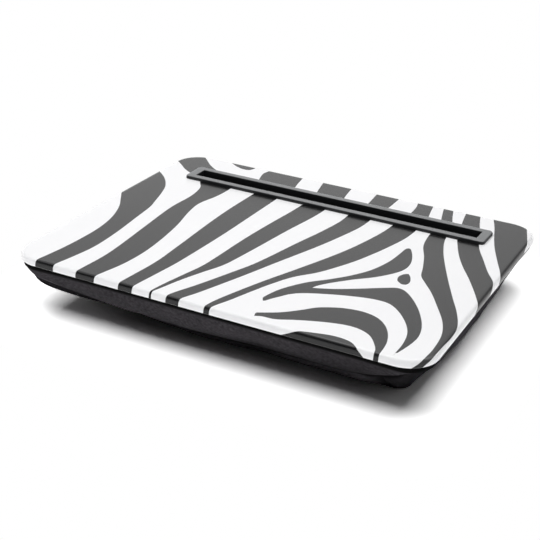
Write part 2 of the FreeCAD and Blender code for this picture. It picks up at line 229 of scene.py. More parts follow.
class Sheet:
    """The node tree of a finish, of the world or of the floor."""

    def __init__(self, owner):
        owner.use_nodes = True
        self.owner, self.tree = owner, owner.node_tree

    def node(self, kind, settings, inputs, output=0):
        """Adds a node: its settings first, then the values or links of its sockets."""
        made = self.tree.nodes.new(kind)
        for name, value in settings.items():
            setattr(made, name, value)
        for name, value in inputs.items():
            self.feed(made.inputs[name], value)
        return Field(self, made.outputs[output])

    def feed(self, socket, value):
        """Links a field to a socket, or sets a plain value on it."""
        if isinstance(value, Field):
            self.tree.links.new(value.socket, socket)
        else:
            socket.default_value = value

    def place(self):
        """The point in the part's own frame, in metres."""
        return self.node("ShaderNodeTexCoord", {}, {}, "Object")

    def cloth_place(self):
        """The piece's own cloth coordinates: round the hull and up from the seam, in metres."""
        return self.parts(self.node("ShaderNodeUVMap", {"uv_map": "cloth"}, {}), "XY")

    def parts(self, vector, axes):
        """The parts of a vector along the given axes, each as a field of its own."""
        return [self.node("ShaderNodeSeparateXYZ", {}, {"Vector": vector}, axis) for axis in axes]

    def ray(self, kind):
        """One for a ray of that kind, and zero for any other."""
        return self.node("ShaderNodeLightPath", {}, {}, f"Is {kind} Ray")

    def seen(self):
        """One where the camera looks straight, or by a reflection or through glass, and zero elsewhere."""
        return (self.ray("Camera") + self.ray("Glossy") + self.ray("Transmission")).clamped()

    def noise(self, where, scale, detail=2.0):
        return self.node("ShaderNodeTexNoise", {}, {"Vector": where, "Scale": scale, "Detail": detail})

    def attribute(self, name):
        return self.node("ShaderNodeAttribute", {"attribute_name": name}, {}, "Fac")

    def vector(self, operation, *values, output=0):
        return self.node("ShaderNodeVectorMath", {"operation": operation}, dict(enumerate(values)), output)

    def mix(self, factor, first, second):
        """A colour between two colours."""
        return self.node("ShaderNodeMix", {"data_type": "RGBA"}, {0: factor, 6: first, 7: second}, 2)

    def bump(self, height, strength, distance):
        return self.node("ShaderNodeBump", {}, {"Height": height, "Strength": strength, "Distance": distance})

    def set_shader(self, **sockets):
        """Feeds the finish's main shader; an underscore in a name stands for a space."""
        shader = self.tree.nodes["Principled BSDF"]
        for name, value in sockets.items():
            self.feed(shader.inputs[name.replace("_", " ")], value)


def new_finish(name):
    return Sheet(bpy.data.materials.new(name))


def rgb(red, green, blue):
    return (red, green, blue, 1.0)


def grey(level):
    return rgb(level, level, level)


# Stripes of the print, read on a flat plan of the deck in millimetres from its middle. Each stripe has two
# edges that run alike; a smooth curve passes through an edge's points, and straight lines join the ends.

PLAN_HALF = np.array([175.0, 139.2])
EDGE_STEPS = 6
STRIPE_MARGIN = 6.0

STRIPES = {
    "left flank": (
        [(-190, 96), (-175, 82), (-160, 68), (-149, 52), (-143, 37), (-137, 16), (-133, 0), (-130, -28),
         (-127, -56), (-125.5, -82), (-126, -100), (-129, -120), (-132, -137), (-132, -152)],
        [(-190, 44), (-174, 18), (-165, 3), (-157, -11), (-150, -29), (-146, -46), (-144, -64), (-144, -84),
         (-145, -104), (-147, -122), (-149, -137), (-149, -152)],
    ),
    "second": (
        [(-136, 92), (-126, 75), (-120, 65), (-117, 50), (-116.5, 36), (-117.5, 18), (-117, 0), (-113.5, -40),
         (-110, -80), (-109, -106), (-111, -137), (-111, -152)],
        [(-95, 92), (-95.5, 68), (-97, 52), (-100.5, 36), (-101, 24), (-98, 5), (-92, -22), (-87.5, -56),
         (-86, -84), (-88, -110), (-93.5, -137), (-94, -152)],
    ),
    "third": (
        [(-71, 92), (-72.5, 40), (-72, 0), (-69.3, -60), (-68.5, -94), (-72, -137), (-72, -152)],
        [(-48, 92), (-49, 30), (-50, -20), (-53, -80), (-56, -108), (-59.5, -137), (-59.5, -152)],
    ),
    "fourth": (
        [(-22, 92), (-24, 60), (-28, 20), (-31, -20), (-32.5, -60), (-34, -80), (-38, -100), (-42, -120),
         (-44.5, -137), (-44.5, -152)],
        [(0, 92), (-2, 60), (-8, 20), (-13, -20), (-17, -50), (-20.5, -70), (-28, -90), (-35, -110),
         (-40.5, -130), (-42.5, -138), (-42.5, -152)],
    ),
    "fifth": (
        [(21, 92), (21.5, 62), (16.5, 30), (10, 0), (0, -50), (-9.5, -80), (-20, -110), (-28, -130),
         (-30, -138), (-30, -152)],
        [(43, 92), (41.5, 60), (35, 30), (26.8, 0), (14, -40), (1.5, -80), (-12, -120), (-18.5, -137),
         (-18.5, -152)],
    ),
    "sixth": (
        [(64, 92), (62, 62), (56, 30), (48, 0), (34, -40), (19, -80), (6, -120), (2.5, -137), (2.5, -152)],
        [(85, 92), (83.5, 60), (77, 30), (68, 0), (60, -20), (49, -42), (36, -60), (27, -80), (20, -100),
         (13.5, -120), (7.5, -137), (7.5, -152)],
    ),
    "teardrop": (
        [(93, 39.5), (91, 36), (90.3, 22), (88.5, 5), (83, -15), (74, -32), (62, -48), (48, -64), (37, -84),
         (32.5, -101), (33, -105), (35.3, -109)],
        [(93, 39.5), (95.5, 37.5), (101, 26), (105, 12), (105, -1), (100, -13), (90, -27), (78, -39),
         (66, -53), (59, -63), (56, -70), (46, -89), (38, -103), (35.3, -109)],
    ),
    "branch": (
        [(46, -72), (57, -69), (72, -62), (88, -51.5), (104, -40), (114, -35), (124, -41), (138, -59),
         (149, -80), (154, -98), (153.5, -114), (148.5, -137)],
        [(36, -108), (42, -95), (52, -83), (70, -73.5), (90, -66), (107, -62.3), (120, -65), (134, -79),
         (144.5, -97), (148.5, -116), (148.5, -137)],
    ),
    "arch": (
        [(39, -127.5), (54, -118), (66, -106), (75, -96), (90, -88), (106, -85.5), (120, -90), (131, -102),
         (138, -119), (140, -137), (140, -152)],
        [(40.5, -133), (46, -130.5), (56, -129.5), (70, -122.5), (90, -114.5), (108, -111), (122, -115.5),
         (131, -126), (136, -137), (136, -152)],
    ),
    "front patch": (
        [(52, -150), (65.5, -143.5), (71, -140.9), (75.6, -138.4), (80.3, -136), (89.6, -133.2), (98.4, -131),
         (104, -130.4)],
        [(136, -151), (128.5, -142.7), (124, -138.9), (121.8, -136.8), (116.4, -132.4), (109.3, -130.6),
         (104, -130.4)],
    ),
    "drop": (
        [(110.5, -7), (107.3, -10), (105.7, -16), (107.5, -23), (112.5, -27.5)],
        [(110.5, -7), (114, -12), (116.8, -20), (116.3, -26), (112.5, -27.5)],
    ),
    "right flank": (
        [(97, 92), (98, 70), (101.5, 50), (109.5, 30), (116, 10), (120.3, -5), (127, -15), (138, -30),
         (150, -50), (161, -70), (167.5, -90), (169.4, -111), (169, -124), (168.2, -131), (166.1, -137.4),
         (160, -150)],
        [(110, 92), (113, 70), (119, 50), (127, 30), (140.5, 0), (155, -30), (165, -50), (172.6, -70),
         (174.6, -86), (173.8, -108), (173.4, -122), (172.4, -132.5), (170, -150)],
    ),
    "right edge": (
        [(116, 92), (124, 70), (132, 50), (142, 30), (154, 10), (165, -10), (174, -28), (182, -44)],
        [(136, 92), (143, 70), (153, 50), (163, 30), (172, 15), (176, 4), (190, -22)],
    ),
    "back right corner": (
        [(128, 156), (133.5, 139), (140.2, 120), (146.2, 100), (152.8, 80), (160.8, 60), (169.4, 40),
         (178, 22), (192, 22)],
        [(158, 156), (163.5, 138), (169, 120), (174.5, 102), (178, 92), (192, 88)],
    ),
    "back left corner": (
        [(-192, 128), (-175, 115), (-165, 106.5), (-155, 97.5), (-140, 88)],
        [(-166, 152), (-157.5, 138.5), (-150, 130), (-140, 119.5), (-130, 112), (-118, 104)],
    ),
    "back scrap": (
        [(-138, 150), (-129, 139), (-120, 132), (-112, 128.3), (-108, 127.8)],
        [(-100.5, 150), (-100.7, 138), (-102.3, 131), (-105, 128.3), (-108, 127.8)],
    ),
    "back one": (
        [(-84, 152), (-86, 140), (-88, 129), (-86.5, 120), (-82, 104)],
        [(-53, 152), (-51.5, 140), (-48.5, 120), (-45, 104)],
    ),
    "back two": (
        [(-33, 152), (-30.5, 140), (-26.5, 120), (-23, 104)],
        [(-3, 152), (-1.5, 140), (1, 120), (4, 104)],
    ),
    "back three": (
        [(22, 152), (23.5, 140), (25.3, 120), (26.5, 104)],
        [(45, 152), (45.5, 140), (45.6, 120), (45, 104)],
    ),
    "back four": (
        [(60, 152), (63, 140), (66, 126), (67, 104)],
        [(76, 152), (78, 140), (80.7, 124), (85, 104)],
    ),
    "back five": (
        [(85, 152), (87.5, 140), (92, 122), (97, 104)],
        [(94, 152), (96.5, 140), (102, 121), (108, 104)],
    ),
    "back six": (
        [(107, 152), (108.5, 140), (111.5, 122), (115, 104)],
        [(119, 152), (121.5, 140), (126.5, 122), (132.5, 104)],
    ),
}


def smooth_curve(points):
    """A Catmull-Rom curve through the points: each span is a cubic whose end slopes are half of the chord
    between its neighbours. The end points are doubled, so the curve reaches them."""
    p = np.asarray(points, float)
    p = np.concatenate([p[:1], p, p[-1:]])
    t = np.linspace(0, 1, EDGE_STEPS, endpoint=False)[:, None]
    a, b, c, d = (p[i:len(p) - 3 + i, None, :] for i in range(4))
    spans = b + t * (c - a) / 2 + t**2 * (2 * a - 5 * b + 4 * c - d) / 2 + t**3 * (3 * (b - c) + d - a) / 2
    return np.concatenate([spans.reshape(-1, 2), p[-1:]])


def signed_distance(points, outline):
    """How far each point lies inside a closed outline; outside it is negative.

    The distance is the least over the outline's segments. A point is inside where a line drawn from it to
    the right crosses the outline an odd number of times.
    """
    start, end = outline, np.roll(outline, -1, axis=0)
    edge = end - start
    offset = points[:, None, :] - start
    length = np.maximum((edge**2).sum(-1), TINY)
    along = np.clip((offset * edge).sum(-1) / length, 0, 1)
    away = np.linalg.norm(offset - along[..., None] * edge, axis=-1).min(axis=1)
    y = points[:, 1:]
    spans = (start[:, 1] > y) != (end[:, 1] > y)
    rise = np.where(edge[:, 1] == 0, 1.0, edge[:, 1])
    crosses = spans & (offset[..., 0] < offset[..., 1] * edge[:, 0] / rise)
    return np.where(crosses.sum(axis=1) % 2 == 1, away, -away)


def stripe_depth(points):
    """How far each point of the deck lies inside a stripe: the greatest signed distance to any of them."""
    plan = points / np.array(CREASE_HALF) * PLAN_HALF
    depth = np.full(len(plan), -PLAN_HALF[0])
    for first, second in STRIPES.values():
        outline = np.concatenate([smooth_curve(first), smooth_curve(second)[::-1]])
        low, high = outline.min(0) - STRIPE_MARGIN, outline.max(0) + STRIPE_MARGIN
        near = ((plan > low) & (plan < high)).all(axis=1)
        depth[near] = np.maximum(depth[near], signed_distance(plan[near], outline))
    return depth * MM


# Deck: a thin moulded sheet with a soft crease, a drafted rim and an opening under the bezel

DECK_STEP = 1.6 * MM
FINE_COLUMNS = np.arange(144.0, 155.0, 0.5) * MM  # where the branch stripe narrows to its tip
DECK_CORNER_STEPS = 18
CREASE_STEPS = 6
WALL_STEPS = 4
OPENING_LAP = 2.6 * MM


def rim_profile():
    """The rim's section as steps outwards, heights, and lengths along it from the deck's flat.

    A quarter turn rounds the crease, cut short where it meets the wall's draft; the wall then runs straight
    down, and a small turn rounds the foot's edge.
    """
    rim_height = TRAY_HIGH.z - TRAY_LOW.z
    draft = math.atan2(RIM_DRAFT, rim_height)
    inset = CREASE_R / math.tan((math.pi / 2 + draft) / 2)
    turn = np.linspace(math.pi / 2, draft, CREASE_STEPS)
    out = -inset + CREASE_R * np.cos(turn)
    drop = CREASE_R - CREASE_R * np.sin(turn)
    wall = np.linspace(0, 1, WALL_STEPS + 1)[1:] * (rim_height - FOOT_EDGE_R - drop[-1])
    out = np.concatenate([out, out[-1] + wall * math.tan(draft), [RIM_DRAFT - FOOT_EDGE_CUT]])
    drop = np.concatenate([drop, drop[-1] + wall, [rim_height]])
    run = np.concatenate([[0], np.cumsum(np.hypot(np.diff(out), np.diff(drop)))])
    return out, drop, run, inset


def make_deck(finish):
    """The deck's grid with its opening left out, and the rim's section carried round its border."""
    out, drop, run, inset = rim_profile()
    half_x, half_y, corner_r = CREASE_HALF[0] - inset, CREASE_HALF[1] - inset, CREASE_CORNER_R - inset
    straight_y = half_y - corner_r
    opening_x = BEZEL_HIGH.x - OPENING_LAP
    opening_y = np.array([BEZEL_LOW.y + OPENING_LAP, BEZEL_HIGH.y - OPENING_LAP])
    columns = shares_through(np.array([-opening_x, opening_x, *FINE_COLUMNS]) / half_x, DECK_STEP / half_x)
    rows = shares_through(opening_y / straight_y, DECK_STEP / straight_y)
    panel = RoundedPanel(columns, rows, DECK_CORNER_STEPS)
    flat = panel.grid(half_x, half_y, corner_r).reshape(-1, 2)
    loop, border = panel.loop(half_x, half_y, corner_r), panel.border
    faces = quads(panel.index)
    middle = flat[faces].mean(axis=1)
    inside_x = np.abs(middle[:, 0]) < opening_x
    faces = [faces[~(inside_x & (middle[:, 1] > opening_y[0]) & (middle[:, 1] < opening_y[1]))]]
    rim = loop + panel.normal * (out[1:, None, None] + inset)
    rim = with_height(rim, TRAY_HIGH.z - drop[1:, None]).reshape(-1, 3)
    unrolled = (loop + panel.normal * run[1:, None, None]).reshape(-1, 2)
    rings = np.concatenate([border, len(flat) + np.arange(len(rim))]).reshape(len(out), -1)
    faces.append(tube(rings[::-1]))
    points = np.concatenate([with_height(flat, TRAY_HIGH.z), rim])
    deck = new_piece("printed_tray_top", points, np.concatenate(faces), finish)
    set_attribute(deck, "stripe", stripe_depth(np.concatenate([flat, unrolled])))
    wall = deck.modifiers.new("moulded wall", "SOLIDIFY")
    wall.thickness, wall.offset = RIM_WALL, -1.0
    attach(deck, "root")
    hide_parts("tray_top")


# Cushion: a bead-filled hull of black cloth that hangs inside the rim and tucks in towards the lap

HULL_INSET = FOOT_HALF[0] - HEM_HIGH.x
HULL_TUCK = np.array([29.0, 46.0]) * MM
HULL_TOP_Z = HEM_LOW.z
HULL_CORNER_POWER = 4.0
FOOT_INSET = np.array([29.0, 45.0]) * MM
FOOT_OUTLINE_R = 8.0 * MM
GUSSET_POWER_CORNER = (0.9, 1.4)
GUSSET_POWER_FULL = (1.6, 1.85)
PANEL_POWER_CORNER = 0.85
PANEL_POWER_LEFT = 1.3
PANEL_POWER_SIDE = 2.45
SIDE_GUSSET_EASE = 130.0 * MM
SIDE_PANEL_EASE = 170.0 * MM
RIGHT_EXTRA_SHARE = 0.65
RIGHT_FULL_FROM, RIGHT_FULL_RISE = 25.0 * MM, 35.0 * MM
RIGHT_FALL_FROM, RIGHT_FALL_RUN = -40.0 * MM, 100.0 * MM
RIGHT_FALL_SHARE = 0.5
FULL_FROM, FULL_RISE = -150.0 * MM, 70.0 * MM
SETTLED_FROM, SETTLED_RUN = -40.0 * MM, 90.0 * MM
LEAN_TOP = 24.0 * MM
LEAN_POWER = 1.5
LEAN_FRONT, LEAN_FRONT_FROM, LEAN_FRONT_RUN = 12.0 * MM, -10.0 * MM, 90.0 * MM
LEAN_SIDE, LEAN_SIDE_FROM, LEAN_SIDE_RUN = 20.0 * MM, -85.0 * MM, 60.0 * MM
CREASE_X = 139.0 * MM
FOLD_DEPTH = 5.0 * MM
FOLD_RUN = 22.0 * MM
FRONT_FACING = 0.9
GROOVE_DROP = 1.3 * MM
GROOVE_DEPTH = 1.1 * MM
FOOT_CLEAR = 0.3 * MM
HOLLOW_ROOM = 2.0 * MM
HOLLOW_SLOPE = 5.0 * MM
CUSHION_STEP = 4.4 * MM
CUSHION_CORNER_STEPS = 10
RINGS_BELOW_SEAM = 9
RINGS_ABOVE_SEAM = 14
SEAM_LOW_SHARE = 0.25
SEAM_TOP_SHARE = 0.94
SEAM_LEFT_SHARE = 0.78
SEAM_CLIMB = 72.0 * MM
FLAT_SHARE = 0.86
UNDERSIDE_SHIFT = 0.45
SIM_FRAMES = 20
SIM_CAP = 0.7 * MM
SIM_CLOTH = {
    "quality": 6,
    "mass": 0.15,
    "tension_stiffness": 12.0,
    "compression_stiffness": 12.0,
    "shear_stiffness": 4.0,
    "bending_stiffness": 4.0,
    "vertex_group_mass": "held",
    "use_pressure": True,
    "uniform_pressure_force": 4.0,
    "shrink_min": -0.005,
}


def smooth_step(value):
    """Zero below zero, one above one, easing in between."""
    t = np.clip(value, 0, 1)
    return t * t * (3 - 2 * t)


def hull_loops(panel, walk, seam, share):
    """Loops of the hull, one to each row of height shares.

    From the hem down to the seam the gussets tuck in by a power law. Below the seam the bottom panel runs in
    to the foot by another. Both stand full along the sides and run almost straight at the corners. The right
    side stands fuller still towards its front, and the filling has settled away from the front's right half.
    """
    half = np.array(FOOT_HALF)
    x, y = (panel.share * half).T
    facing_x, facing_y = panel.normal.T
    right, front, rear = (np.maximum(facing, 0) for facing in (facing_x, -facing_y, facing_y))
    settled = smooth_step((x - SETTLED_FROM) / SETTLED_RUN)
    full_front = smooth_step((x - FULL_FROM) / FULL_RISE) * (1 - settled)
    fall = RIGHT_FALL_SHARE * smooth_step((y - RIGHT_FALL_FROM) / RIGHT_FALL_RUN)
    full_right = smooth_step((walk - RIGHT_FULL_FROM) / RIGHT_FULL_RISE) * (1 - fall)
    full_side = smooth_step(walk / SIDE_GUSSET_EASE) + RIGHT_EXTRA_SHARE * right * full_right
    full = np.stack([full_side, front * full_front + rear], axis=-1)
    power = GUSSET_POWER_CORNER + np.subtract(GUSSET_POWER_FULL, GUSSET_POWER_CORNER) * full
    seam_inset = HULL_INSET + HULL_TUCK * (1 - seam[:, None]) ** power
    gusset_inset = HULL_INSET + HULL_TUCK * (1 - share[..., None]) ** power
    along_front = np.abs(facing_y) > np.abs(facing_x)
    ease = np.where(along_front, smooth_step(walk / SEAM_CLIMB), smooth_step(walk / SIDE_PANEL_EASE))
    roll_corner = np.where(x < 0, PANEL_POWER_LEFT, PANEL_POWER_CORNER)
    roll = roll_corner + (PANEL_POWER_SIDE - roll_corner) * ease
    down = np.clip(1 - share / seam, 0, 1) ** roll
    panel_inset = seam_inset + (FOOT_INSET - seam_inset) * down[..., None]
    size = half - np.where((share < seam)[..., None], panel_inset, gusset_inset)
    hem_corner_r = FOOT_CORNER_R - HULL_INSET
    corner_r = FOOT_OUTLINE_R + (hem_corner_r - FOOT_OUTLINE_R) * share**HULL_CORNER_POWER
    return panel.loop(size[..., 0], size[..., 1], corner_r)


def lean(points):
    """Draws the hull's lower left in: the shift grows towards the floor, the front and the left end."""
    x, y, z = points.T
    low = np.clip(1 - z / LEAN_TOP, 0, 1) ** LEAN_POWER
    near = np.clip(-y / (FOOT_HALF[1] - FOOT_INSET[1]), 0, 1) ** 2
    to_rear = LEAN_FRONT * smooth_step((LEAN_FRONT_FROM - x) / LEAN_FRONT_RUN) * low * near
    to_right = LEAN_SIDE * smooth_step((LEAN_SIDE_FROM - x) / LEAN_SIDE_RUN) * low
    return np.stack([x + to_right, y + to_rear, z], axis=-1)


def fold(panel, seam, share, wall):
    """Dents the bottom panel beside the front right corner, so that a crease runs from seam to foot.

    The dent dies away exponentially to the left of the crease, and is deepest midway between foot and seam.
    """
    gap = CREASE_X - wall[..., 0]
    dent = np.where(gap > 0, np.exp(-gap / FOLD_RUN), 0) * (panel.normal[:, 1] < -FRONT_FACING)
    depth = FOLD_DEPTH * dent * np.sin(math.pi * np.clip(share / seam, 0, 1))
    return wall + depth[..., None] * np.array([0, 1, 0])


def walk_round(points):
    """Distance walked along a closed loop to each of its points, and back to the first."""
    steps = np.linalg.norm(np.roll(points, -1, axis=0) - points, axis=1)
    return np.concatenate([[0], np.cumsum(steps)])


def corner_walk(panel, around):
    """Walk along the loop from the nearest corner's middle to each of its points."""
    corners = around[:-1][np.isclose(np.abs(panel.normal[:, 0]), np.abs(panel.normal[:, 1]))]
    gap = np.abs(around[:-1, None] - corners)
    return np.minimum(gap, around[-1] - gap).min(axis=1)


def make_cushion(finish):
    """A closed hull: a flat bottom, rings up the tucked sides, one of them on the seam, and a hidden top.

    The seam runs low and climbs to the corners, with a groove under it. The top is hollowed round the trough.
    """
    foot = (*(np.array(FOOT_HALF) - FOOT_INSET), FOOT_OUTLINE_R)
    hem = (FOOT_HALF[0] - HULL_INSET, FOOT_HALF[1] - HULL_INSET, FOOT_CORNER_R - HULL_INSET)
    columns = shares_through([], CUSHION_STEP / foot[0])
    rows = shares_through([], CUSHION_STEP / foot[1])
    panel = RoundedPanel(columns, rows, CUSHION_CORNER_STEPS)
    bottom = panel.grid(*foot).reshape(-1, 2)
    top = panel.grid(*hem).reshape(-1, 2)
    around = walk_round(panel.loop(*hem))
    walk = corner_walk(panel, around)
    seam_top = np.where(panel.share[:, 0] < 0, SEAM_LEFT_SHARE, SEAM_TOP_SHARE)
    seam = seam_top - (seam_top - SEAM_LOW_SHARE) * smooth_step(walk / SEAM_CLIMB)
    below = np.linspace(0, 1, RINGS_BELOW_SEAM)[1:, None] * (seam - GROOVE_DROP / HULL_TOP_Z)
    above = seam + np.linspace(0, 1, RINGS_ABOVE_SEAM + 1)[1:, None] * (1 - seam)
    share = np.concatenate([below, seam[None], above])
    wall = with_height(hull_loops(panel, walk, seam, share), share * HULL_TOP_Z)
    wall = fold(panel, seam, share, wall)
    wall[RINGS_BELOW_SEAM - 2, :, :2] -= GROOVE_DEPTH * panel.normal
    inner = np.setdiff1d(panel.index.ravel(), panel.border)
    hollow_x = smooth_step((BEZEL_HIGH.x + HOLLOW_SLOPE - np.abs(top[inner, 0])) / HOLLOW_SLOPE)
    hollow_y = smooth_step((SLOT_HALF_Y + HOLLOW_SLOPE - np.abs(top[inner, 1] - SLOT_Y)) / HOLLOW_SLOPE)
    roof_z = HULL_TOP_Z - (HULL_TOP_Z - TROUGH_LOW.z + HOLLOW_ROOM) * hollow_x * hollow_y
    levels = [with_height(bottom, FOOT_CLEAR), wall.reshape(-1, 3), with_height(top[inner], roof_z)]
    points = lean(np.concatenate(levels))
    rings = np.concatenate([panel.border, len(bottom) + np.arange(share.size)]).reshape(len(share) + 1, -1)
    roof = np.empty(len(top), int)
    roof[panel.border] = rings[-1]
    roof[inner] = len(bottom) + share.size + np.arange(len(inner))
    base_faces, roof_faces = quads(panel.index)[:, ::-1], roof[quads(panel.index)]
    faces = np.concatenate([base_faces, tube(rings), roof_faces])
    cushion = new_piece("bead_cushion", points, faces, finish)
    climb = np.linalg.norm(np.diff(points[rings], axis=0), axis=-1)
    along = np.cumsum(np.concatenate([np.zeros((1, len(seam))), climb]), axis=0)
    along -= along[RINGS_BELOW_SEAM]
    underside = points[base_faces][..., :2] - np.array([0, UNDERSIDE_SHIFT])
    coords = [underside, tube_coords(around, along), points[roof_faces][..., :2]]
    set_coords(cushion, np.concatenate(coords))
    flat = (np.abs(bottom) < FLAT_SHARE * np.array(foot[:2])).all(axis=1)
    seam_rings = rings[RINGS_BELOW_SEAM - 1 : RINGS_BELOW_SEAM + 1].ravel()
    inflate(cushion, np.concatenate([np.flatnonzero(flat), seam_rings, rings[-1], roof[inner]]))
    soft = cushion.modifiers.new("soft cloth", "SUBSURF")
    soft.levels = soft.render_levels = 1
    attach(cushion, "root")
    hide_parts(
        "cover_front_gusset", "cover_right_gusset", "cover_rear_gusset", "cover_left_gusset",
        "cover_bottom_panel", "bead_liner", "bead_fill",
    )


def read_points(mesh):
    """The mesh's points as rows of three."""
    flat = np.empty(3 * len(mesh.vertices), np.float32)
    mesh.vertices.foreach_get("co", flat)
    return flat.reshape(-1, 3).astype(float)


def inflate(piece, held):
    """Fills the cover: cloth under a little pressure, held along its hem, its seam and its flat underside.

    Each point moves no further than the cap and never below the floor.
    """
    piece.vertex_groups.new(name="held").add(held.tolist(), 1.0, "REPLACE")
    cloth = piece.modifiers.new("filled cover", "CLOTH")
    for name, value in SIM_CLOTH.items():
        setattr(cloth.settings, name, value)
    cloth.settings.effector_weights.gravity = 0.0
    cloth.point_cache.frame_start, cloth.point_cache.frame_end = 1, SIM_FRAMES
    scene = bpy.context.scene
    start = read_points(piece.data)
    for number in range(1, SIM_FRAMES + 1):
        scene.frame_set(number)
    filled = piece.evaluated_get(bpy.context.evaluated_depsgraph_get())
    move = read_points(filled.to_mesh()) - start
    filled.to_mesh_clear()
    piece.modifiers.remove(cloth)
    scene.frame_set(1)
    length = np.linalg.norm(move, axis=1, keepdims=True)
    end = start + move * SIM_CAP * np.tanh(length / SIM_CAP) / np.maximum(length, TINY)
    end[:, 2] = np.maximum(end[:, 2], FOOT_CLEAR)
    piece.data.vertices.foreach_set("co", end.astype(np.float32).ravel())
    piece.data.update()


# Hem: the bound edge of the cover, a ribbed tape that hangs between the rim and the cushion

TAPE_WALL = 1.2 * MM
TAPE_OVERLAP = 1.8 * MM
TAPE_EDGE_R = 0.5 * MM
TAPE_STEP = 3.0 * MM
TAPE_CORNER_STEPS = 12
TAPE_WALL_RINGS = 5
TAPE_EDGE_RINGS = 4
TAPE_CORNER_DROP = 0.6 * MM
TAPE_CORNER_RUN = 60.0 * MM
# How far below the rim's foot the rim's painted shadow darkens the tape, and how much further at corners and
# sides
TAPE_SHADOW = 2.9 * MM
TAPE_CORNER_SHADOW = 1.0 * MM
TAPE_SIDE_SHADOW = 1.6 * MM


def make_hem(finish):
    """A tape of rounded section carried round the hem: down its outside, under its edge and up its inside.

    It hangs a little deeper round the corners. Each point keeps its height above the lower edge of the rim's
    painted shadow, which reaches further down at the corners and along the left and right sides.
    """
    half = np.array([HEM_HIGH.x, HEM_HIGH.y])
    columns, rows = (shares_through([], TAPE_STEP / side) for side in half)
    panel = RoundedPanel(columns, rows, TAPE_CORNER_STEPS)
    low, high = HEM_LOW.z - TAPE_OVERLAP, HEM_HIGH.z - TAPE_EDGE_R
    turn = np.linspace(0, math.pi / 2, TAPE_EDGE_RINGS)
    edge_in = TAPE_EDGE_R * (1 - np.cos(turn))
    edge_z = low + TAPE_EDGE_R * (1 - np.sin(turn))
    wall_z = np.linspace(high, low + TAPE_EDGE_R, TAPE_WALL_RINGS)
    inset = np.concatenate([0 * wall_z, edge_in[1:], TAPE_WALL - edge_in[::-1], [TAPE_WALL]])
    level = np.concatenate([wall_z, edge_z[1:], edge_z[::-1], [high]])
    hem_r = FOOT_CORNER_R - HULL_INSET
    size = half[:, None, None] - inset[:, None]
    around = walk_round(panel.loop(*half, hem_r))
    corner = 1 - smooth_step(corner_walk(panel, around) / TAPE_CORNER_RUN)
    hang = ((high - level) / (high - low))[:, None]
    height = level[:, None] - hang * TAPE_CORNER_DROP * corner
    rings = with_height(panel.loop(size[0], size[1], hem_r - inset[:, None]), height)
    index = np.arange(rings.size // 3).reshape(rings.shape[:2])
    closed = np.concatenate([index, index[:1]])
    tape = new_piece("hem_tape", rings.reshape(-1, 3), tube(closed[::-1]), finish)
    steps = np.hypot(np.diff(inset, append=inset[0]), np.diff(level, append=level[0]))
    along = np.concatenate([[0], np.cumsum(steps)])[::-1, None] + np.zeros(rings.shape[1])
    set_coords(tape, tube_coords(around, along))
    # How far down the tape the rim's painted shadow reaches
    black = TAPE_SHADOW + TAPE_CORNER_SHADOW * corner + TAPE_SIDE_SHADOW * np.abs(panel.normal[:, 0])
    set_attribute(tape, "above_rim_shadow_edge", (height - TRAY_LOW.z + black).ravel())
    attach(tape, "root")
    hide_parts("hem_binding")


# Finishes: a pair of values is a ramp, from where a look starts to change to where the change is complete

INK_EDGE = 0.24 * MM
GRAIN_DEPTH = 0.05 * MM
SHEEN_FROM, SHEEN_FULL = 0.6 * MM, 0.12 * MM
THREAD_PITCH = 0.9 * MM
WEAVE_DEPTH = 0.12 * MM
STITCH_OFFSET = 2.2 * MM
STITCH_PITCH = 4.0 * MM
STITCH_WIDTH = (0.3 * MM, 0.5 * MM)
STITCH_DASH_SHARES = (0.62, 0.7)
FRONT_END_Y = (-80.0 * MM, -50.0 * MM)
CREASE_BLUR = 0.3 * MM
SEAM_BLUR = 0.4 * MM
# Painted shade on the bottom panel: how far under the seam, how much wider by the front right corner, how
# deep
SEAM_SHADE = 1.6 * MM
SEAM_SHADE_SHARES = (0.4, 1.4)
CORNER_SHADE = 4.5 * MM
CORNER_SHADE_START_X = (112.0 * MM, 132.0 * MM)
CORNER_SHADE_END_X = (150.0 * MM, 166.0 * MM)
SHADE_SHARE = 0.95
PANEL_TONE = 0.31
# Painted light on the bottom panel's settled front right stretch
LIT_STRETCH_TONE = 1.1
LIT_STRETCH_X = (30.0 * MM, 80.0 * MM)
# Painted shade that darkens the front towards the right
RIGHT_SHADE_SHARE = 0.3
RIGHT_SHADE_X = (30.0 * MM, 130.0 * MM)
# A painted highlight on the gusset's edge above the seam's left end
EDGE_HIGHLIGHT_TONE = 1.5
EDGE_HIGHLIGHT_END = (1.0 * MM, 3.5 * MM)
EDGE_HIGHLIGHT_END_X = (-130.0 * MM, -90.0 * MM)
RIB_PITCH = 1.1 * MM
RIB_DEPTH = 0.15 * MM
# Where the rim's painted shadow on the tape gives way to the tape's own tone, by height above its edge
RIM_SHADOW_END = (-1.6 * MM, 0.4 * MM)


def print_finish():
    """Satin white moulding with black ink where the stripes lie, under a fine grain."""
    sheet = new_finish("striped print")
    place = sheet.place()
    ink = (sheet.attribute("stripe") / INK_EDGE + 0.5).clamped()
    haze = sheet.noise(place, 35.0)
    white = sheet.mix(haze, rgb(0.90, 0.90, 0.915), rgb(0.93, 0.93, 0.94))
    black = sheet.mix(haze, rgb(0.007, 0.007, 0.0075), rgb(0.011, 0.011, 0.0115))
    grain = sheet.noise(place, 1400.0)
    sheet.set_shader(
        Base_Color=sheet.mix(ink, white, black),
        Roughness=0.2 + 0.05 * grain + 0.03 * haze,
        Normal=sheet.bump(grain, 0.12, GRAIN_DEPTH),
    )
    return sheet.owner


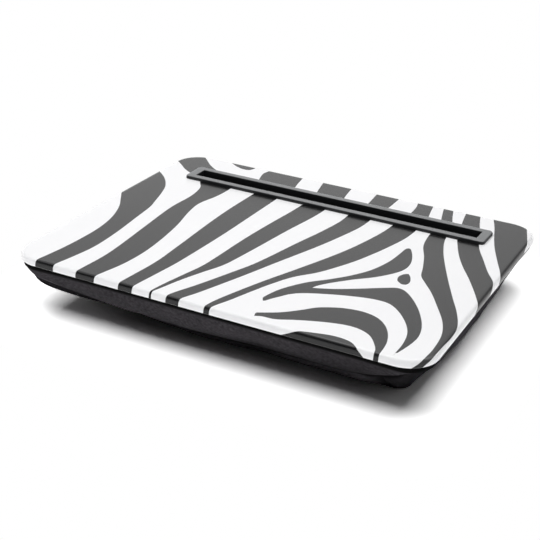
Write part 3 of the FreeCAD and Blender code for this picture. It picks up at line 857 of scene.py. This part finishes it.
def bezel_finish():
    """Black moulding, matte on its walls and with a sheen on its top face."""
    sheet = new_finish("black bezel plastic")
    place = sheet.place()
    height = sheet.parts(place, "Z")[0]
    grain = sheet.noise(place, 2200.0)
    cloud = sheet.noise(place, 60.0)
    top = height.between(BEZEL_HIGH.z - SHEEN_FROM, BEZEL_HIGH.z - SHEEN_FULL)
    sheet.set_shader(
        Base_Color=sheet.mix(cloud, rgb(0.009, 0.0095, 0.0105), rgb(0.014, 0.0145, 0.016)),
        Roughness=0.4 + 0.12 * grain,
        Normal=sheet.bump(grain, 0.15, GRAIN_DEPTH),
        Specular_IOR_Level=0.3,
        Coat_Weight=top,
        Coat_Roughness=0.3,
        Coat_IOR=1.8,
        Coat_Tint=rgb(0.93, 0.97, 1.0),
    )
    return sheet.owner


def trough_finish():
    """Matte black moulding inside the slot."""
    sheet = new_finish("matte black trough")
    grain = sheet.noise(sheet.place(), 1800.0)
    sheet.set_shader(
        Base_Color=sheet.mix(grain, grey(0.005), grey(0.008)),
        Roughness=0.7 + 0.2 * grain,
        Specular_IOR_Level=0.1,
    )
    return sheet.owner


def base_plastic_finish():
    """Plain dark moulding of the hidden plate."""
    sheet = new_finish("plain base plastic")
    grain = sheet.noise(sheet.place(), 900.0)
    sheet.set_shader(
        Base_Color=sheet.mix(grain, rgb(0.07, 0.07, 0.074), rgb(0.09, 0.09, 0.094)),
        Roughness=0.5 + 0.1 * grain,
    )
    return sheet.owner


def screw_finish():
    """Zinc plated steel with a turned grain."""
    sheet = new_finish("zinc plated steel")
    grain = sheet.noise(sheet.place(), 3000.0)
    sheet.set_shader(
        Base_Color=sheet.mix(grain, rgb(0.5, 0.5, 0.52), grey(0.6)),
        Roughness=0.3 + 0.15 * grain,
        Metallic=1.0,
    )
    return sheet.owner


def cloth_finish():
    """Tight black cloth: a plain weave on the cloth's own coordinates, with a stitch line beside the seam.

    The weave is the product of two sine waves. The bottom panel is darker than the gussets. Painted shade
    darkens it most close under the seam and left of the crease by the front right corner, and painted light
    makes its settled front right stretch paler. Painted shade darkens the front a little to the right, and a
    painted highlight gives its gusset a pale edge above the seam's left end.
    """
    sheet = new_finish("black cover cloth")
    place = sheet.place()
    around, along = sheet.cloth_place()
    turn = 2 * math.pi / THREAD_PITCH
    weave = (around * turn).math("SINE") * (along * turn).math("SINE")
    fibre = sheet.noise(place, 1500.0)
    cloud = sheet.noise(place, 30.0, 3.0)
    speck = sheet.noise(place, 420.0, 1.0)
    beside_seam = 1 - (along - STITCH_OFFSET).math("ABSOLUTE").between(*STITCH_WIDTH)
    dash = 1 - (around / STITCH_PITCH).math("FRACT").between(*STITCH_DASH_SHARES)
    stitch = beside_seam * dash
    x, y = sheet.parts(place, "XY")
    front = 1 - y.between(*FRONT_END_Y)
    facet = x.between(CREASE_X - CREASE_BLUR, CREASE_X + CREASE_BLUR)
    # Painted shade: in the fold left of the crease, and close under the seam, wider by the front right corner
    fold_shade = (1 - facet) * x.between(CREASE_X - FOLD_RUN, CREASE_X) * front
    corner_shade = x.between(*CORNER_SHADE_START_X) * (1 - x.between(*CORNER_SHADE_END_X)) * front
    below = -1 * along / (SEAM_SHADE + CORNER_SHADE * corner_shade)
    shade = (1 - below.between(*SEAM_SHADE_SHARES)).math("MAXIMUM", fold_shade)
    # Painted light that makes the panel's settled front right stretch paler
    settled = x.between(*LIT_STRETCH_X) * (1 - facet) * front
    panel = (PANEL_TONE + LIT_STRETCH_TONE * settled) * (1 - SHADE_SHARE * shade)
    gusset = along.between(-SEAM_BLUR, SEAM_BLUR)
    # Painted shade towards the right of the front
    right_shade = 1 - RIGHT_SHADE_SHARE * x.between(*RIGHT_SHADE_X) * front
    # A painted highlight on the gusset's edge above the seam's left end
    edge = (1 - along.between(*EDGE_HIGHLIGHT_END)) * (1 - x.between(*EDGE_HIGHLIGHT_END_X)) * front
    threads = (0.3 * cloud + 0.7 * speck + 0.15 * weave).clamped()
    tone = threads * (panel + (1 - panel + EDGE_HIGHLIGHT_TONE * edge) * gusset) * right_shade
    colour = sheet.mix(tone, rgb(0.004, 0.0038, 0.0042), rgb(0.072, 0.0672, 0.074))
    sheet.set_shader(
        Base_Color=sheet.mix(0.2 * stitch, colour, rgb(0.05, 0.048, 0.053)),
        Roughness=0.85 + 0.1 * fibre,
        Normal=sheet.bump(0.5 * weave + fibre + stitch, 0.4, WEAVE_DEPTH),
        Specular_IOR_Level=0.0,
    )
    return sheet.owner


def tape_finish():
    """Ribbed black tape with close ribs across its length, and the rim's painted shadow on its upper part."""
    sheet = new_finish("ribbed hem tape")
    place = sheet.place()
    around = sheet.cloth_place()[0]
    rib = (around * (2 * math.pi / RIB_PITCH)).math("SINE")
    fibre = sheet.noise(place, 1800.0)
    # The rim's painted shadow: nearly black above the edge whose height the hem stores, the tape's own tone
    # below
    lower = 1 - sheet.attribute("above_rim_shadow_edge").between(*RIM_SHADOW_END)
    ribs = (0.5 + 0.3 * rib) * fibre
    rim_shadow_colour = sheet.mix(ribs, grey(0.002), grey(0.008))
    tape_colour = sheet.mix(ribs, rgb(0.02, 0.019, 0.021), rgb(0.05, 0.047, 0.052))
    sheet.set_shader(
        Base_Color=sheet.mix(lower, rim_shadow_colour, tape_colour),
        Roughness=0.85 + 0.1 * fibre,
        Normal=sheet.bump(rib + fibre, 0.5, RIB_DEPTH),
        Specular_IOR_Level=0.03,
    )
    return sheet.owner


def dress(node, finish):
    """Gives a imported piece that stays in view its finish."""
    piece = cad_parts[node]
    piece.data.materials.clear()
    piece.data.materials.append(finish)


# Studio: a white floor that keeps the shadow, a broad lamp above and a little light all round

FLOOR_HALF = 4.0
FLOOR_COLOUR = 1.8  # for the light that the floor gives back to the tray
FLOOR_COLOUR_SEEN = 2.65  # for what the eye sees of the floor
FLOOR_WHITE = (0.0, 0.05)
# Painted shadow on a strip of floor under the tray's front: how much it darkens, and where
FRONT_SHADOW_SHARE = 0.65
FRONT_SHADOW_START_X, FRONT_SHADOW_END_X = (-120.0 * MM, -80.0 * MM), (105.0 * MM, 150.0 * MM)
FRONT_SHADOW_START_Y = (-121.0 * MM, -101.0 * MM)
LAMP_PLACE = (-0.22, -0.02, 1.3)
LAMP_SIZE = (2.1, 1.7)
LAMP_POWER = 27.0
AMBIENT = 0.012
SIDE_FILL, SIDE_FILL_X = 0.13, (0.35, 0.9)

# What glossy surfaces see of the studio: each level goes with a ramp over a part of the direction
GLOSS_LEVEL = 0.90
GLOSS_ABOVE, ABOVE_Z = 0.14, (0.39, 0.44)
GLOSS_RIGHT, RIGHT_X = -0.12, (-0.29, -0.22)
BEHIND_Y = (0.2, 0.5)
GLOSS_BEHIND_HIGH, BEHIND_HIGH_Z = -0.3, (0.49, 0.58)
GLOSS_BEHIND_LOW, BEHIND_LOW_END_Z = 1.5, (0.1, 0.25)
GLOSS_WINDOW = 2.6
WINDOW_START_X, WINDOW_END_Y = (-0.45, -0.32), (0.7, 0.78)
WINDOW_START_Z, WINDOW_END_Z = (0.52, 0.6), (0.84, 0.9)
DIM_FRONT, DIM_FRONT_NEAR, DIM_FRONT_SHARE = (-0.40, -0.53, 0.75), (0.82, 0.93), 1.0
DIM_BACK, DIM_BACK_NEAR, DIM_BACK_SHARE = (0.51, 0.81, 0.28), (0.82, 0.97), 0.65

EYE = (379.2 * MM, -797.0 * MM, 438.2 * MM)
VIEW_AZIMUTH = math.radians(26.239)
VIEW_ELEVATION = math.radians(25.219)
VIEW_ROLL = math.radians(2.405)
FOCAL_PIXELS = 1178.033
FRAME_PIXELS = 540
SENSOR = 36.0


def make_floor():
    """A wide level plane, which keeps the tray's shadow and runs out to plain white.

    How white it looks goes by its distance from the tray's outline. Painted shadow darkens a strip under the
    front.
    """
    corners = FLOOR_HALF * np.array([(-1, -1, 0), (1, -1, 0), (1, 1, 0), (-1, 1, 0)])
    mesh = bpy.data.meshes.new("floor")
    mesh.from_pydata(corners, [], [(0, 1, 2, 3)])
    floor = bpy.data.objects.new("floor", mesh)
    bpy.context.scene.collection.objects.link(floor)
    sheet = new_finish("white floor")
    seen = sheet.seen()
    place = sheet.place()
    x, y = sheet.parts(place, "XY")
    # Painted shadow in a strip under the tray's front
    under = x.between(*FRONT_SHADOW_START_X) * (1 - x.between(*FRONT_SHADOW_END_X)) * y.between(*FRONT_SHADOW_START_Y)
    shaded = sheet.mix(FRONT_SHADOW_SHARE * under, grey(FLOOR_COLOUR_SEEN), grey(0.0))
    colour = sheet.mix(seen, grey(FLOOR_COLOUR), shaded)
    sheet.set_shader(Base_Color=colour, Roughness=0.9, Specular_IOR_Level=0.0)
    beside = sheet.vector("SUBTRACT", sheet.vector("ABSOLUTE", place), (*FOOT_HALF, 0.0))
    away = sheet.vector("LENGTH", sheet.vector("MAXIMUM", beside, (0.0, 0.0, 0.0)), output="Value")
    white = sheet.node("ShaderNodeEmission", {}, {"Color": grey(1.0), "Strength": 1.0})
    paper = Field(sheet, sheet.tree.nodes["Principled BSDF"].outputs[0])
    factor = seen * away.between(*FLOOR_WHITE)
    surface = sheet.node("ShaderNodeMixShader", {}, {0: factor, 1: paper, 2: white})
    sheet.feed(sheet.tree.nodes["Material Output"].inputs["Surface"], surface)
    floor.data.materials.append(sheet.owner)


def dimmed(sheet, way, middle, near, share):
    """One, less a share where a direction comes near the middle one, which their dot product tells."""
    close = sheet.vector("DOT_PRODUCT", way, middle, output="Value")
    return 1 - share * close.between(*near)


def reflected_light(sheet, way):
    """What glossy surfaces see of the studio, by the direction that they look in.

    Higher up and to the left it is a little brighter. Behind the tray it is bright near the floor and dimmer
    high up, with one bright window. It is dark above the front left and dim low at the back right.
    """
    x, y, z = sheet.parts(way, "XYZ")
    behind = y.between(*BEHIND_Y)
    level = GLOSS_LEVEL + GLOSS_ABOVE * z.between(*ABOVE_Z) + GLOSS_RIGHT * x.between(*RIGHT_X)
    level = level + GLOSS_BEHIND_HIGH * z.between(*BEHIND_HIGH_Z) * behind
    level = level + GLOSS_BEHIND_LOW * (1 - z.between(*BEHIND_LOW_END_Z)) * behind
    window = x.between(*WINDOW_START_X) * z.between(*WINDOW_START_Z) * (1 - z.between(*WINDOW_END_Z))
    level = level + GLOSS_WINDOW * window * behind * (1 - y.between(*WINDOW_END_Y))
    level = level * dimmed(sheet, way, DIM_FRONT, DIM_FRONT_NEAR, DIM_FRONT_SHARE)
    return level * dimmed(sheet, way, DIM_BACK, DIM_BACK_NEAR, DIM_BACK_SHARE)


def make_light():
    """White all round to the eye, and a broad lamp above that does most of the lighting.

    What else lights the tray is dim, and grows towards both sides with the sideways part of its direction.
    """
    world = bpy.data.worlds.new("studio")
    bpy.context.scene.world = world
    sheet = Sheet(world)
    background = sheet.tree.nodes["Background"]
    straight = sheet.ray("Camera") + sheet.ray("Transmission")
    way = sheet.node("ShaderNodeTexCoord", {}, {}, "Generated")
    sideways = sheet.parts(way, "X")[0].math("ABSOLUTE")
    ambient = AMBIENT + SIDE_FILL * sideways.between(*SIDE_FILL_X)
    mirrored = (reflected_light(sheet, way) - ambient) * sheet.ray("Glossy")
    strength = ambient + (1 - ambient) * straight + mirrored
    sheet.feed(background.inputs["Color"], grey(1.0))
    sheet.feed(background.inputs["Strength"], strength)
    lamp = bpy.data.lights.new("overhead", "AREA")
    lamp.shape, lamp.energy = "RECTANGLE", LAMP_POWER
    lamp.size, lamp.size_y = LAMP_SIZE
    light = bpy.data.objects.new("overhead", lamp)
    light.location = LAMP_PLACE
    light.visible_glossy = False
    bpy.context.scene.collection.objects.link(light)


def make_camera():
    """The photograph's own view: a long lens above the front right, rolled a little."""
    a, e, r = VIEW_AZIMUTH, VIEW_ELEVATION, VIEW_ROLL
    back = Vector((math.sin(a) * math.cos(e), -math.cos(a) * math.cos(e), math.sin(e)))
    level = Vector((math.cos(a), math.sin(a), 0))
    upright = back.cross(level)
    right = level * math.cos(r) + upright * math.sin(r)
    up = upright * math.cos(r) - level * math.sin(r)
    lens = bpy.data.cameras.new("camera")
    lens.sensor_width, lens.lens = SENSOR, FOCAL_PIXELS / FRAME_PIXELS * SENSOR
    camera = bpy.data.objects.new("camera", lens)
    camera.matrix_world = Matrix.Translation(EYE) @ Matrix((right, up, back)).transposed().to_4x4()
    bpy.context.scene.collection.objects.link(camera)
    bpy.context.scene.camera = camera


def main():
    bpy.context.scene.view_settings.view_transform = "Standard"
    make_floor()
    make_light()
    make_camera()
    dress("slot_bezel", bezel_finish())
    dress("slot_trough", trough_finish())
    dress("base_plate", base_plastic_finish())
    dress("base_screws", screw_finish())
    make_deck(print_finish())
    make_hem(tape_finish())
    make_cushion(cloth_finish())


main()
